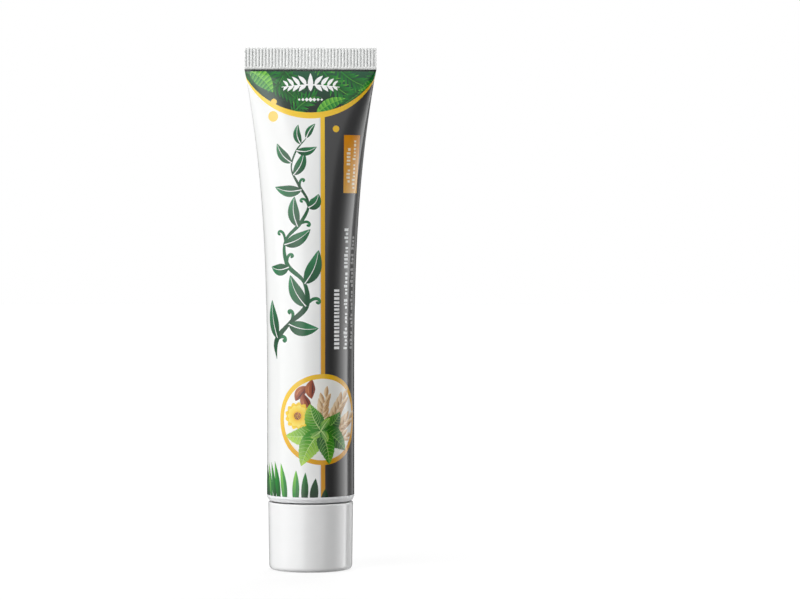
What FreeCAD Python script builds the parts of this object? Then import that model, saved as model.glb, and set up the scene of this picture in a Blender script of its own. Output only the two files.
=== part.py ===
"""Toothpaste tube standing on its screw cap, crimped fin upwards.

The frame is in millimetres. +Z runs up along the tube, X runs along the width of the fin,
and the origin is the centre of the cap's end face, on which the tube stands.

Four pieces, as they come apart on a bench:
  sleeve    the laminate wall, a cylinder at the shoulder that flattens to the crimped fin
  shoulder  the moulded head welded into the sleeve, with its threaded nozzle
  paste     the filling, which takes the inside of the sleeve, the shoulder and the nozzle
  cap       the moulded stand-up cap: a smooth skirt, a socket for the nozzle and its ribs
"""
import FreeCAD
import Part
import Sketcher
import os

Vector = FreeCAD.Vector

DRIVING_SIZES = [
    # The sleeve and its fin
    ("tube_diameter", 35.0),
    ("laminate_wall", 0.4),
    ("sleeve_length", 170.0),
    ("straight_length", 40.0),
    ("flare_power", 2.75),
    ("depth_power", 2.75),
    ("depth_round", 0.65),
    ("fin_width", 52.8),
    ("fin_height", 8.7),
    ("fin_thickness", 1.2),
    # The ribs pressed into both faces of the fin
    ("rib_pitch", 1.31),
    ("rib_groove_width", 0.62),
    ("rib_groove_depth", 0.28),
    ("rib_plain_strip", 1.0),
    ("rib_side_margin", 0.2),
    # The shoulder, its rim below the sleeve and its nozzle
    ("rim_height", 2.4),
    ("rim_inset", 0.9),
    ("rim_land_width", 1.6),
    ("weld_height", 3.0),
    ("weld_gap", 0.05),
    ("shoulder_wall", 1.4),
    ("cone_height", 5.0),
    ("cone_wall", 1.5),
    ("neck_diameter", 12.2),
    ("neck_length", 13.0),
    ("orifice_diameter", 8.0),
    ("thread_pitch", 3.0),
    ("thread_height", 0.8),
    ("thread_root_width", 1.5),
    ("thread_crest_width", 0.7),
    ("thread_turns", 2.5),
    ("thread_start", 2.6),
    # The cap
    ("cap_height", 27.0),
    ("cap_rim_diameter", 34.0),
    ("cap_end_diameter", 33.2),
    ("cap_wall", 1.3),
    ("cap_end_wall", 1.6),
    ("cap_corner_radius", 1.8),
    ("cap_rim_radius", 0.35),
    ("cap_dish_depth", 0.5),
    ("cap_foot_width", 2.6),
    ("cap_rim_gap", 0.6),
    ("socket_wall", 1.2),
    ("socket_clearance", 0.3),
    ("socket_rim_gap", 1.0),
    ("seat_gap", 0.1),
    ("plug_height", 1.6),
    ("plug_clearance", 0.3),
    ("rib_thickness", 0.9),
    ("rib_rim_gap", 3.0),
    # The filling
    ("paste_gap", 0.2),
    ("paste_headroom", 38.0),
    ("paste_mouth_gap", 0.6),
]

# How closely an edge has to lie at a height, and have a radius, to be picked for rounding.
HEIGHT_TOLERANCE = 0.001
RADIUS_TOLERANCE = 0.05

# How high up the flare each section of the sleeve is drawn, as a share of the flare's length.
FLARE_STATIONS = (0.0, 0.07, 0.2, 0.34, 0.48, 0.6, 0.71, 0.81, 0.89, 0.945, 0.978, 0.993, 1.0)
# The hollow stops just short of the fin, where the two walls are pressed together.
HOLLOW_STATIONS = FLARE_STATIONS[:-1]
# The sections of the filling, as shares of the part of the flare that it fills.
FILLING_STATIONS = (0.0, 0.1, 0.28, 0.46, 0.64, 0.82, 1.0)

# Places and sizes worked out from the driving sizes, each written once.
SLEEVE_FOOT = "(sizes.cap_height + sizes.cap_rim_gap + sizes.rim_height)"
FLARE_FOOT = f"({SLEEVE_FOOT} + sizes.straight_length)"
FLARE_LENGTH = "(sizes.sleeve_length - sizes.straight_length)"
FIN_FOOT = f"({SLEEVE_FOOT} + sizes.sleeve_length)"
FIN_TOP = f"({FIN_FOOT} + sizes.fin_height)"
TUBE_RADIUS = "(sizes.tube_diameter / 2)"
RIM_FOOT = "(sizes.cap_height + sizes.cap_rim_gap)"
NECK_RADIUS = "(sizes.neck_diameter / 2)"
ORIFICE_RADIUS = "(sizes.orifice_diameter / 2)"
NECK_TOP = f"({RIM_FOOT} - sizes.cone_height)"
NOZZLE_TIP = f"({NECK_TOP} - sizes.neck_length)"
WELD_RADIUS = f"({TUBE_RADIUS} - sizes.laminate_wall - sizes.weld_gap)"
WELD_TOP = f"({SLEEVE_FOOT} + sizes.weld_height)"
SHOULDER_BORE = f"({WELD_RADIUS} - sizes.shoulder_wall)"
RIM_RADIUS = f"({TUBE_RADIUS} - sizes.rim_inset)"
CONE_RIM = f"({RIM_RADIUS} - sizes.rim_land_width)"
CONE_SLOPE = f"(sizes.cone_height / ({CONE_RIM} - {NECK_RADIUS}))"
FILLED_SHARE = f"(1 - sizes.paste_headroom / {FLARE_LENGTH})"
SOCKET_BORE = f"({NECK_RADIUS} + sizes.thread_height + sizes.socket_clearance)"
SOCKET_RADIUS = f"({SOCKET_BORE} + sizes.socket_wall)"
SOCKET_TOP = f"({NECK_TOP} - sizes.socket_rim_gap)"
SEAT_HEIGHT = f"({NOZZLE_TIP} - sizes.seat_gap)"
CAP_FLOOR = "(sizes.cap_dish_depth + sizes.cap_end_wall)"

doc = FreeCAD.newDocument("toothpaste_tube")


def make_sheet(name, sizes):
    """A spreadsheet with one row for each driving size: its name, and its value under that alias."""
    sheet = doc.addObject("Spreadsheet::Sheet", name)
    for row, (alias, value) in enumerate(sizes, start=1):
        sheet.set(f"A{row}", alias)
        sheet.set(f"B{row}", str(value))
        sheet.setAlias(f"B{row}", alias)
    doc.recompute()
    return sheet


def value_of(expression):
    """The number that an expression in the sheet's aliases stands for."""
    return float(sizes.evalExpression(expression))


def new_body(name):
    body = doc.addObject("PartDesign::Body", name)
    body.Label = name
    return body


def origin_feature(body, role):
    return next(f for f in body.Origin.OriginFeatures if f.Role == role)


def new_sketch(body, name, plane, height=None):
    """A sketch on one of the body's own origin planes, raised by an expression."""
    sketch = body.newObject("Sketcher::SketchObject", name)
    sketch.AttachmentSupport = [(origin_feature(body, plane), "")]
    sketch.MapMode = "FlatFace"
    if height is not None:
        sketch.setExpression("AttachmentOffset.Base.z", height)
    return sketch


def bind(sketch, name, kind, places, expression):
    """Adds one driving dimension to a sketch and ties it to an expression."""
    index = sketch.addConstraint(Sketcher.Constraint(kind, *places, value_of(expression)))
    sketch.renameConstraint(index, name)
    sketch.setExpression(f"Constraints.{name}", expression)


def circle_sketch(body, name, radius, height):
    sketch = new_sketch(body, name, "XY_Plane", height)
    sketch.addGeometry(Part.Circle(Vector(), Vector(0, 0, 1), value_of(radius)), False)
    sketch.addConstraint(Sketcher.Constraint("Coincident", 0, 3, -1, 1))
    bind(sketch, "radius", "Radius", (0,), radius)
    return sketch


def ellipse_sketch(body, name, half_width, half_depth, height):
    """An ellipse about the tube's axis, wide along X."""
    sketch = new_sketch(body, name, "XY_Plane", height)
    wide = Vector(value_of(half_width), 0, 0)
    deep = Vector(0, value_of(half_depth), 0)
    sketch.addGeometry(Part.Ellipse(wide, deep, Vector()), False)
    sketch.exposeInternalGeometry(0)
    sketch.addConstraint(Sketcher.Constraint("Coincident", 0, 3, -1, 1))
    sketch.addConstraint(Sketcher.Constraint("Horizontal", 1))
    bind(sketch, "width", "Distance", (1,), f"2 * {half_width}")
    bind(sketch, "depth", "Distance", (2,), f"2 * {half_depth}")
    return sketch


def outline_sketch(body, name, plane, corners, height=None):
    """A closed outline of straight sides. A corner is a pair of expressions, and 0 is on an axis."""
    sketch = new_sketch(body, name, plane, height)
    points = [Vector(value_of(x), value_of(y), 0) for x, y in corners]
    count = len(points)
    for i in range(count):
        sketch.addGeometry(Part.LineSegment(points[i], points[(i + 1) % count]), False)
    for i in range(count):
        sketch.addConstraint(Sketcher.Constraint("Coincident", i, 2, (i + 1) % count, 1))
    for i, (x, y) in enumerate(corners):
        place_corner(sketch, i, x, y)
    return sketch


def place_corner(sketch, i, x, y):
    """Ties the start of side i to its place, measured from the sketch's origin."""
    on_axis = {"X": -2, "Y": -1}
    for letter, expression in (("X", x), ("Y", y)):
        if expression == "0":
            sketch.addConstraint(Sketcher.Constraint("PointOnObject", i, 1, on_axis[letter]))
        elif value_of(expression) < 0:
            bind(sketch, f"corner{i}{letter}", f"Distance{letter}", (i, 1, -1, 1), f"-({expression})")
        else:
            bind(sketch, f"corner{i}{letter}", f"Distance{letter}", (-1, 1, i, 1), expression)


def revolve(body, name, sketch):
    feature = body.newObject("PartDesign::Revolution", name)
    feature.Profile = sketch
    feature.ReferenceAxis = (origin_feature(body, "Z_Axis"), [""])
    feature.Angle = 360.0
    return feature


def pad(body, name, sketch, length, midplane=False):
    feature = body.newObject("PartDesign::Pad", name)
    feature.Profile = sketch
    feature.Midplane = midplane
    feature.setExpression("Length", length)
    return feature


def loft(body, name, sketches, kind="AdditiveLoft"):
    feature = body.newObject(f"PartDesign::{kind}", name)
    feature.Profile = sketches[0]
    feature.Sections = sketches[1:]
    feature.Ruled = False
    return feature


def edges_where(feature, wanted):
    """The names of the feature's edges that pass a test."""
    doc.recompute()
    edges = feature.Shape.Edges
    return [f"Edge{i}" for i, edge in enumerate(edges, start=1) if wanted(edge)]


def round_at(height, radius):
    """A test for the round edges that lie at one height and have about one radius."""
    def wanted(edge):
        box = edge.BoundBox
        level = max(abs(box.ZMin - height), abs(box.ZMax - height)) < HEIGHT_TOLERANCE
        return level and abs(box.XMax - radius) < RADIUS_TOLERANCE
    return wanted


def fillet(body, name, base, edges, radius):
    feature = body.newObject("PartDesign::Fillet", name)
    feature.Base = (base, edges)
    feature.setExpression("Radius", radius)
    return feature


def flare_height(share):
    return f"{FLARE_FOOT} + {share} * {FLARE_LENGTH}"


def flare_half_width(share, inset):
    """Half the sleeve's width at a share of the flare: slow to widen, then quick below the fin."""
    spread = f"(sizes.fin_width / 2 - {TUBE_RADIUS}) * pow({share}; sizes.flare_power)"
    return f"({TUBE_RADIUS} + {spread} - {inset})"


def flare_half_depth(share, inset):
    """Half the sleeve's depth there. It closes so that the wall keeps its girth to a few percent."""
    fin = "sizes.fin_thickness / 2"
    closing = f"pow(1 - pow({share}; sizes.depth_power); sizes.depth_round)"
    return f"({fin} + ({TUBE_RADIUS} - {fin}) * {closing} - {inset})"


def flare_sections(body, name, shares, inset):
    """One section for each share of the flare: a circle at its foot, and ellipses above it."""
    sections = [circle_sketch(body, f"{name}_0", f"{TUBE_RADIUS} - {inset}", FLARE_FOOT)]
    for i, share in enumerate(shares[1:], start=1):
        half_width = flare_half_width(share, inset)
        half_depth = flare_half_depth(share, inset)
        height = flare_height(share)
        sections.append(ellipse_sketch(body, f"{name}_{i}", half_width, half_depth, height))
    return sections


def make_sleeve():
    """The laminate wall with its crimped fin: one sheet, rolled, welded and pressed flat at the end."""
    body = new_body("sleeve")
    foot = circle_sketch(body, "straight_outline", TUBE_RADIUS, SLEEVE_FOOT)
    pad(body, "straight_part", foot, "sizes.straight_length")
    outer = flare_sections(body, "flare", FLARE_STATIONS, "0")
    loft(body, "flared_part", outer)
    add_fin(body)
    bore = circle_sketch(body, "bore_outline", f"{TUBE_RADIUS} - sizes.laminate_wall", SLEEVE_FOOT)
    hollow = body.newObject("PartDesign::Pocket", "straight_hollow")
    hollow.Profile = bore
    hollow.Reversed = True
    hollow.setExpression("Length", "sizes.straight_length")
    inner = flare_sections(body, "hollow", HOLLOW_STATIONS, "sizes.laminate_wall")
    loft(body, "flared_hollow", inner, "SubtractiveLoft")
    press_ribs(body)
    return body


def add_fin(body):
    """The flat fin, which stands on the flare's narrow end."""
    side = "sizes.fin_width / 2"
    face = "sizes.fin_thickness / 2"
    corners = [(f"-{side}", f"-{face}"), (side, f"-{face}"), (side, face), (f"-{side}", face)]
    outline = outline_sketch(body, "fin_outline", "XY_Plane", corners, FIN_FOOT)
    pad(body, "fin", outline, "sizes.fin_height")


def press_ribs(body):
    """Upright grooves in both faces of the fin, from its top edge down to a plain strip."""
    usable = "(sizes.fin_width - 2 * sizes.rib_side_margin - sizes.rib_groove_width)"
    gaps = f"floor({usable} / sizes.rib_pitch)"
    first = f"({gaps} * sizes.rib_pitch / 2)"
    half = "sizes.rib_groove_width / 2"
    for name, sign in (("front", "-"), ("back", "")):
        face = f"{sign}sizes.fin_thickness / 2"
        bottom = f"{sign}(sizes.fin_thickness / 2 - sizes.rib_groove_depth)"
        corners = [(f"-{first} - {half}", face), (f"-{first} + {half}", face), (f"-{first}", bottom)]
        outline = outline_sketch(body, f"{name}_groove_outline", "XY_Plane", corners, FIN_TOP)
        groove = body.newObject("PartDesign::Pocket", f"{name}_groove")
        groove.Profile = outline
        groove.setExpression("Length", "sizes.fin_height - sizes.rib_plain_strip")
        doc.recompute()
        row = body.newObject("PartDesign::LinearPattern", f"{name}_grooves")
        row.Originals = [groove]
        row.Direction = (origin_feature(body, "X_Axis"), [""])
        row.setExpression("Length", f"{gaps} * sizes.rib_pitch")
        row.setExpression("Occurrences", f"{gaps} + 1")
        body.Tip = row


def inside_cone(radius, lift="0"):
    """The height of the cone's inner face at a radius, or of a face that lies above it by a lift."""
    return f"({NECK_TOP} + {CONE_SLOPE} * ({radius} - {NECK_RADIUS}) + sizes.cone_wall + {lift})"


def make_shoulder():
    """The moulded head: a weld ring in the sleeve, a rim that shows below it, a cone and the nozzle."""
    body = new_body("shoulder")
    corners = [
        (ORIFICE_RADIUS, NOZZLE_TIP),
        (NECK_RADIUS, NOZZLE_TIP),
        (NECK_RADIUS, NECK_TOP),
        (CONE_RIM, RIM_FOOT),
        (RIM_RADIUS, RIM_FOOT),
        (TUBE_RADIUS, f"({SLEEVE_FOOT} - sizes.rim_height / 3)"),
        (TUBE_RADIUS, f"({SLEEVE_FOOT} - sizes.weld_gap)"),
        (WELD_RADIUS, f"({SLEEVE_FOOT} - sizes.weld_gap)"),
        (WELD_RADIUS, WELD_TOP),
        (SHOULDER_BORE, WELD_TOP),
        (SHOULDER_BORE, inside_cone(SHOULDER_BORE)),
        (ORIFICE_RADIUS, inside_cone(ORIFICE_RADIUS)),
    ]
    outline = outline_sketch(body, "head_outline", "XZ_Plane", corners)
    head = revolve(body, "head", outline)
    softened = edges_where(head, round_at(value_of(RIM_FOOT), value_of(RIM_RADIUS)))
    fillet(body, "rim_rounding", head, softened, "sizes.rim_inset / 2")
    add_thread(body)
    return body


def add_thread(body):
    """The coarse thread on the nozzle, a ridge whose foot is sunk a little into the neck."""
    sunk = "sizes.thread_height / 4"
    inner = f"({NECK_RADIUS} - {sunk})"
    crest = f"({NECK_RADIUS} + sizes.thread_height)"
    middle = f"({NOZZLE_TIP} + sizes.thread_start)"
    corners = [
        (inner, f"{middle} - sizes.thread_root_width / 2"),
        (crest, f"{middle} - sizes.thread_crest_width / 2"),
        (crest, f"{middle} + sizes.thread_crest_width / 2"),
        (inner, f"{middle} + sizes.thread_root_width / 2"),
    ]
    outline = outline_sketch(body, "thread_outline", "XZ_Plane", corners)
    thread = body.newObject("PartDesign::AdditiveHelix", "thread")
    thread.Profile = outline
    thread.ReferenceAxis = (origin_feature(body, "Z_Axis"), [""])
    thread.Mode = "pitch-turns-angle"
    thread.setExpression("Pitch", "sizes.thread_pitch")
    thread.setExpression("Turns", "sizes.thread_turns")


def make_cap():
    """The stand-up cap, one moulding: end wall on a foot ring, skirt, socket, ribs and plug."""
    body = new_body("cap")
    rim = "(sizes.cap_rim_diameter / 2)"
    end = "(sizes.cap_end_diameter / 2)"
    skirt_floor = f"({end} - sizes.cap_wall)"
    foot = f"({end} - sizes.cap_corner_radius)"
    dish = f"({foot} - sizes.cap_foot_width)"
    corners = [
        ("0", "sizes.cap_dish_depth"),
        (f"{dish} - sizes.cap_dish_depth", "sizes.cap_dish_depth"),
        (dish, "0"),
        (end, "0"),
        (rim, "sizes.cap_height"),
        (f"{rim} - sizes.cap_wall", "sizes.cap_height"),
        (skirt_floor, CAP_FLOOR),
        (SOCKET_RADIUS, CAP_FLOOR),
        (SOCKET_RADIUS, SOCKET_TOP),
        (SOCKET_BORE, SOCKET_TOP),
        (SOCKET_BORE, CAP_FLOOR),
        ("0", CAP_FLOOR),
    ]
    shell = revolve(body, "shell", outline_sketch(body, "shell_outline", "XZ_Plane", corners))
    corner = edges_where(shell, round_at(0, value_of(end)))
    rounded = fillet(body, "end_rounding", shell, corner, "sizes.cap_corner_radius")
    edge = edges_where(rounded, round_at(value_of("sizes.cap_height"), value_of(rim)))
    fillet(body, "rim_rounding", rounded, edge, "sizes.cap_rim_radius")
    add_cap_ribs(body, f"({skirt_floor} + sizes.cap_wall / 2)")
    add_plug(body)
    return body


def add_cap_ribs(body, skirt_middle):
    """Four upright ribs that tie the socket to the skirt. Low down they meet under the nozzle."""
    socket_middle = f"({SOCKET_BORE} + sizes.socket_wall / 2)"
    rib_top = f"({SOCKET_TOP} - sizes.rib_rim_gap)"
    sunk = f"({CAP_FLOOR} - sizes.cap_end_wall / 2)"
    corners = [
        ("0", sunk),
        (skirt_middle, sunk),
        (skirt_middle, rib_top),
        (socket_middle, rib_top),
        (socket_middle, SEAT_HEIGHT),
        ("0", SEAT_HEIGHT),
    ]
    outline = outline_sketch(body, "rib_outline", "XZ_Plane", corners)
    outline.AttachmentOffset = FreeCAD.Placement(Vector(), FreeCAD.Rotation(Vector(0, 1, 0), 45))
    rib = pad(body, "rib", outline, "sizes.rib_thickness", midplane=True)
    doc.recompute()
    ribs = body.newObject("PartDesign::PolarPattern", "ribs")
    ribs.Originals = [rib]
    ribs.Axis = (origin_feature(body, "Z_Axis"), [""])
    ribs.Angle = 360.0
    ribs.Occurrences = 4
    body.Tip = ribs


def add_plug(body):
    """The short plug that closes the nozzle's mouth, standing on the crossing of the ribs."""
    radius = f"({ORIFICE_RADIUS} - sizes.plug_clearance)"
    foot = f"({SEAT_HEIGHT} - sizes.plug_height)"
    outline = circle_sketch(body, "plug_outline", radius, foot)
    plug = pad(body, "plug", outline, "2 * sizes.plug_height")
    tip = edges_where(plug, round_at(value_of(f"{SEAT_HEIGHT} + sizes.plug_height"), value_of(radius)))
    fillet(body, "plug_rounding", plug, tip, "sizes.plug_height / 2")


def make_paste():
    """The filling. It stops short of the crimp, and just inside the plug at the nozzle's mouth."""
    body = new_body("paste")
    inset = "(sizes.laminate_wall + sizes.paste_gap)"
    mouth = f"({SEAT_HEIGHT} + sizes.plug_height + sizes.paste_mouth_gap)"
    neck = f"({ORIFICE_RADIUS} - sizes.paste_gap)"
    bore = f"({SHOULDER_BORE} - sizes.paste_gap)"
    corners = [
        ("0", mouth),
        (neck, mouth),
        (neck, inside_cone(neck, "sizes.paste_gap")),
        (bore, inside_cone(bore, "sizes.paste_gap")),
        (bore, f"({WELD_TOP} + sizes.paste_gap)"),
        (f"({TUBE_RADIUS} - {inset})", f"({WELD_TOP} + sizes.paste_gap)"),
        (f"({TUBE_RADIUS} - {inset})", FLARE_FOOT),
        ("0", FLARE_FOOT),
    ]
    revolve(body, "lower_filling", outline_sketch(body, "filling_outline", "XZ_Plane", corners))
    shares = [f"({share} * {FILLED_SHARE})" for share in FILLING_STATIONS]
    loft(body, "upper_filling", flare_sections(body, "filling", shares, inset))
    return body


def check_objects():
    """Stops the build if any feature failed or any finished piece isn't one valid closed solid."""
    for item in doc.Objects:
        if {"Invalid", "Error"} & set(item.State):
            raise RuntimeError(f"{item.Name} is {item.State}")
    for body in bodies:
        shape = body.Shape
        if shape.isNull() or not shape.isValid() or len(shape.Solids) != 1:
            raise RuntimeError(f"{body.Label} is not one valid solid")


def write_parts():
    os.makedirs("parts", exist_ok=True)
    for body in bodies:
        body.Shape.exportStep(os.path.join("parts", f"{body.Label}.step"))
        box = body.Shape.BoundBox
        print(f"{body.Label}: {body.Shape.Volume / 1000:.2f} cm3, z {box.ZMin:.2f} to {box.ZMax:.2f} mm")


sizes = make_sheet("sizes", DRIVING_SIZES)
bodies = [make_sleeve(), make_shoulder(), make_cap(), make_paste()]
doc.recompute()
check_objects()
write_parts()
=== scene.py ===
# %% [markdown]
# # A toothpaste tube standing on its cap
# The real thing is a sheet of plastic laminate, printed flat, rolled into a pipe and pressed flat
# at one end. A moulded shoulder with a nozzle closes the other end, and a wide screw cap carries it.
#
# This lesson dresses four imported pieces. The cap, the shoulder and the paste already have their
# true shape, so they only get a finish. The sleeve is made again here, because its look is its
# print, and a print is easiest to draw flat, just as the printer does, before it is rolled up.

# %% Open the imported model
import bpy
import math
import random
import numpy as np
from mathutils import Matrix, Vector
from mathutils.geometry import delaunay_2d_cdt


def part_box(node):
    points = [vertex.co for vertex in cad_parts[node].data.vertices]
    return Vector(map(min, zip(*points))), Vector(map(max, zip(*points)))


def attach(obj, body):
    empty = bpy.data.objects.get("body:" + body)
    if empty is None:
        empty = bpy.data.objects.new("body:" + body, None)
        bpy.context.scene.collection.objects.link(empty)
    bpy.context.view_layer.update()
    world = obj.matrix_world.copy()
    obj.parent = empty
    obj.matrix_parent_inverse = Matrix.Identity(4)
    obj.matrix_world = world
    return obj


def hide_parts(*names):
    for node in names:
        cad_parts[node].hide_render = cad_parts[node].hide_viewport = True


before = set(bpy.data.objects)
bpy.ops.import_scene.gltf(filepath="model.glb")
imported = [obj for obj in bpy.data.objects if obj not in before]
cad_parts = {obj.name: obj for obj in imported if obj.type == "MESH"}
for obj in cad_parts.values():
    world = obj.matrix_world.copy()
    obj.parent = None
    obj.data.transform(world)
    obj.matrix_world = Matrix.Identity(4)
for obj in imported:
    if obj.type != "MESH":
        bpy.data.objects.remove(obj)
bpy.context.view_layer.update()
MM = 0.001
print("pieces in the frame:", ", ".join(sorted(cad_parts)))

# %% [markdown]
# ## Sizes
# Everything is worked out in millimetres, and turned into metres only when a mesh is made. The
# sleeve's box gives the main sizes: its widest place is the pressed fin, its deepest is the round
# pipe. Two curves join them. The width grows slowly and then quickly below the fin, and the depth
# closes in such a way that the girth of the sheet stays about the same, because film can't shrink.

# %% Read the sleeve's sizes and its two curves
sleeve_low, sleeve_high = (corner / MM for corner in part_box("sleeve"))
TUBE_RADIUS = sleeve_high.y
FIN_HALF_WIDTH = sleeve_high.x
SLEEVE_FOOT = sleeve_low.z
FIN_TOP = sleeve_high.z
FIN_HEIGHT = 8.7
FIN_THICKNESS = 1.2
FIN_FOOT = FIN_TOP - FIN_HEIGHT
STRAIGHT_LENGTH = 40.0
FLARE_FOOT = SLEEVE_FOOT + STRAIGHT_LENGTH
FLARE_POWER = 2.75
DEPTH_POWER = 2.75
DEPTH_ROUND = 0.65
WALL = 0.4


def flare_share(z):
    return np.clip((np.asarray(z, float) - FLARE_FOOT) / (FIN_FOOT - FLARE_FOOT), 0.0, 1.0)


def half_width(z):
    return TUBE_RADIUS + (FIN_HALF_WIDTH - TUBE_RADIUS) * flare_share(z) ** FLARE_POWER


def half_depth(z):
    fin = FIN_THICKNESS / 2
    return fin + (TUBE_RADIUS - fin) * (1 - flare_share(z) ** DEPTH_POWER) ** DEPTH_ROUND


def distance_from_curves():
    """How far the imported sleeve's outer corners lie from the two curves, in millimetres."""
    corners = np.array([v.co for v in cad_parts["sleeve"].data.vertices]) / MM
    corners = corners[corners[:, 2] < FIN_FOOT - 0.5]
    wide, deep = half_width(corners[:, 2]), half_depth(corners[:, 2])
    share = np.hypot(corners[:, 0] / wide, corners[:, 1] / deep)
    outer = share > 1 - WALL / 2 / wide
    return np.abs((share[outer] - 1) * deep[outer]).max()


print("tube radius, fin half width:", round(TUBE_RADIUS, 2), round(FIN_HALF_WIDTH, 2), "mm")
print("the curves follow the packed sleeve to", round(distance_from_curves(), 3), "mm")

# %% [markdown]
# ## Camera
# Product photographs are taken from some way off with a long lens, which keeps the sides of a pack
# parallel. The foot of the cap and the joint above it bow downwards here, the foot a little more, and
# the fin's edges are level. So the camera stands about a metre away, level with the tube's middle,
# and looks down on the cap by six degrees. The tube isn't in the middle of the picture, so the camera
# stands in front of the tube and aims beside it.

# %% Set up the long lens
PICTURE_WIDTH = 800
PICTURE_HEIGHT = 600
TUBE_COLUMN = 310.6
FLOOR_ROW = 568.7
MM_PER_PIXEL = 0.401
CAMERA_DISTANCE = 1100.0
EYE_HEIGHT = 125.0

aim = Vector((
    (PICTURE_WIDTH / 2 - TUBE_COLUMN) * MM_PER_PIXEL,
    0.0,
    (FLOOR_ROW - PICTURE_HEIGHT / 2) * MM_PER_PIXEL,
))
eye = Vector((0.0, -CAMERA_DISTANCE, EYE_HEIGHT))

camera_data = bpy.data.cameras.new("long_lens")
camera_data.sensor_width = 36.0
camera_data.lens = camera_data.sensor_width * CAMERA_DISTANCE / (PICTURE_WIDTH * MM_PER_PIXEL)
camera_data.clip_end = 20.0
camera = bpy.data.objects.new("camera", camera_data)
camera.location = eye * MM
camera.rotation_euler = (aim - eye).to_track_quat("-Z", "Y").to_euler()
bpy.context.scene.collection.objects.link(camera)
bpy.context.scene.camera = camera
print("lens:", round(camera_data.lens), "mm")

# %% [markdown]
# ## Studio
# The picture is white all round. The world is white where the camera, a mirror or glass looks at
# it, and a dim grey where it lights the part, so the background costs the tube none of its shading.
# The floor glows towards the camera for the same reason, and still darkens where the cap stands.

# %% Make the white surround and the floor
WORLD_LIGHT = 0.06
FLOOR_GLOW = 0.77
FLOOR_GREY = 0.2
# In metres: how far the floor reaches, and from where to where its glow grows to full white.
FLOOR_REACH = 6.0
GLOW_GROWS_FROM = 0.1
GLOW_FULL_AT = 1.2
WHITE = (1.0, 1.0, 1.0, 1.0)

scene = bpy.context.scene
scene.view_settings.view_transform = "Standard"


def new_material(name):
    """A new material, with its nodes, its links and its shader."""
    material = bpy.data.materials.new(name)
    material.use_nodes = True
    nodes, links = material.node_tree.nodes, material.node_tree.links
    return material, nodes, links, nodes["Principled BSDF"]


def combined(nodes, links, operation, first, second):
    """A socket with the result of a sum on two others."""
    node = nodes.new("ShaderNodeMath")
    node.operation = operation
    links.new(first, node.inputs[0])
    links.new(second, node.inputs[1])
    return node.outputs[0]


def between(nodes, links, source, low, high, source_low=0.0, source_high=1.0):
    """A socket that runs from low to high as the source runs through its own range."""
    node = nodes.new("ShaderNodeMapRange")
    values = (("From Min", source_low), ("From Max", source_high), ("To Min", low), ("To Max", high))
    for name, value in values:
        node.inputs[name].default_value = value
    links.new(source, node.inputs["Value"])
    return node.outputs[0]


def seen_by(nodes, links, first, *others):
    """A socket that is 1 for the named kinds of ray and 0 for all others."""
    path = nodes.new("ShaderNodeLightPath")
    total = path.outputs[first]
    for name in others:
        total = combined(nodes, links, "MAXIMUM", total, path.outputs[name])
    return total


def make_world():
    world = bpy.data.worlds.new("white_surround")
    world.use_nodes = True
    nodes, links = world.node_tree.nodes, world.node_tree.links
    direct = seen_by(nodes, links, "Is Camera Ray", "Is Glossy Ray", "Is Transmission Ray")
    links.new(between(nodes, links, direct, WORLD_LIGHT, 1.0), nodes["Background"].inputs["Strength"])
    nodes["Background"].inputs["Color"].default_value = WHITE
    scene.world = world


def make_floor():
    material, nodes, links, shader = new_material("white_floor")
    shader.inputs["Base Color"].default_value = (FLOOR_GREY, FLOOR_GREY, FLOOR_GREY, 1.0)
    shader.inputs["Roughness"].default_value = 0.7
    shader.inputs["Specular IOR Level"].default_value = 0.1
    shader.inputs["Emission Color"].default_value = WHITE
    place = nodes.new("ShaderNodeTexCoord")
    away = nodes.new("ShaderNodeVectorMath")
    away.operation = "LENGTH"
    links.new(place.outputs["Object"], away.inputs[0])
    level = between(nodes, links, away.outputs["Value"], FLOOR_GLOW, 1.0, GLOW_GROWS_FROM, GLOW_FULL_AT)
    glow = combined(nodes, links, "MULTIPLY", seen_by(nodes, links, "Is Camera Ray"), level)
    links.new(glow, shader.inputs["Emission Strength"])
    corners = [(-FLOOR_REACH, -FLOOR_REACH, 0), (FLOOR_REACH, -FLOOR_REACH, 0),
               (FLOOR_REACH, FLOOR_REACH, 0), (-FLOOR_REACH, FLOOR_REACH, 0)]
    mesh = bpy.data.meshes.new("floor")
    mesh.from_pydata(corners, [], [(0, 1, 2, 3)])
    mesh.materials.append(material)
    floor = bpy.data.objects.new("floor", mesh)
    floor.visible_glossy = False
    scene.collection.objects.link(floor)


make_world()
make_floor()

# %% [markdown]
# ## Lamps
# A glossy pipe shows its lamps as upright bands, so the bands in a photograph tell where the lamps
# stood: a band at an angle round the pipe mirrors what stands at twice that angle. Here a wide
# screen at the left starts hard at its far side and fades out beside the camera, and a narrower
# one at the right grows slowly from its near side and ends hard. Beyond those ends it is much
# darker, which draws a thin grey line down each edge of the tube. Each screen is an arc round the
# tube whose glow changes along it. The screens reach below the floor, which the gloss doesn't see,
# so the bands run on down to the foot of the cap.

# %% Stand up the glowing screens
# In metres from the tube's axis, and up and down from its foot.
SCREEN_DISTANCE = 0.9
SCREEN_LOW = -0.3
SCREEN_HIGH = 0.52
SCREEN_STEPS = 48


def glow_material():
    """A black card whose inner face glows as strongly as its glow attribute says."""
    material, nodes, links, shader = new_material("glow_screen")
    shader.inputs["Base Color"].default_value = (0.01, 0.01, 0.01, 1.0)
    shader.inputs["Roughness"].default_value = 1.0
    shader.inputs["Emission Color"].default_value = WHITE
    glow = nodes.new("ShaderNodeAttribute")
    glow.attribute_name = "glow"
    side = nodes.new("ShaderNodeNewGeometry")
    inner = between(nodes, links, side.outputs["Backfacing"], 1.0, 0.0)
    strength = combined(nodes, links, "MULTIPLY", glow.outputs["Fac"], inner)
    links.new(strength, shader.inputs["Emission Strength"])
    return material


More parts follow.
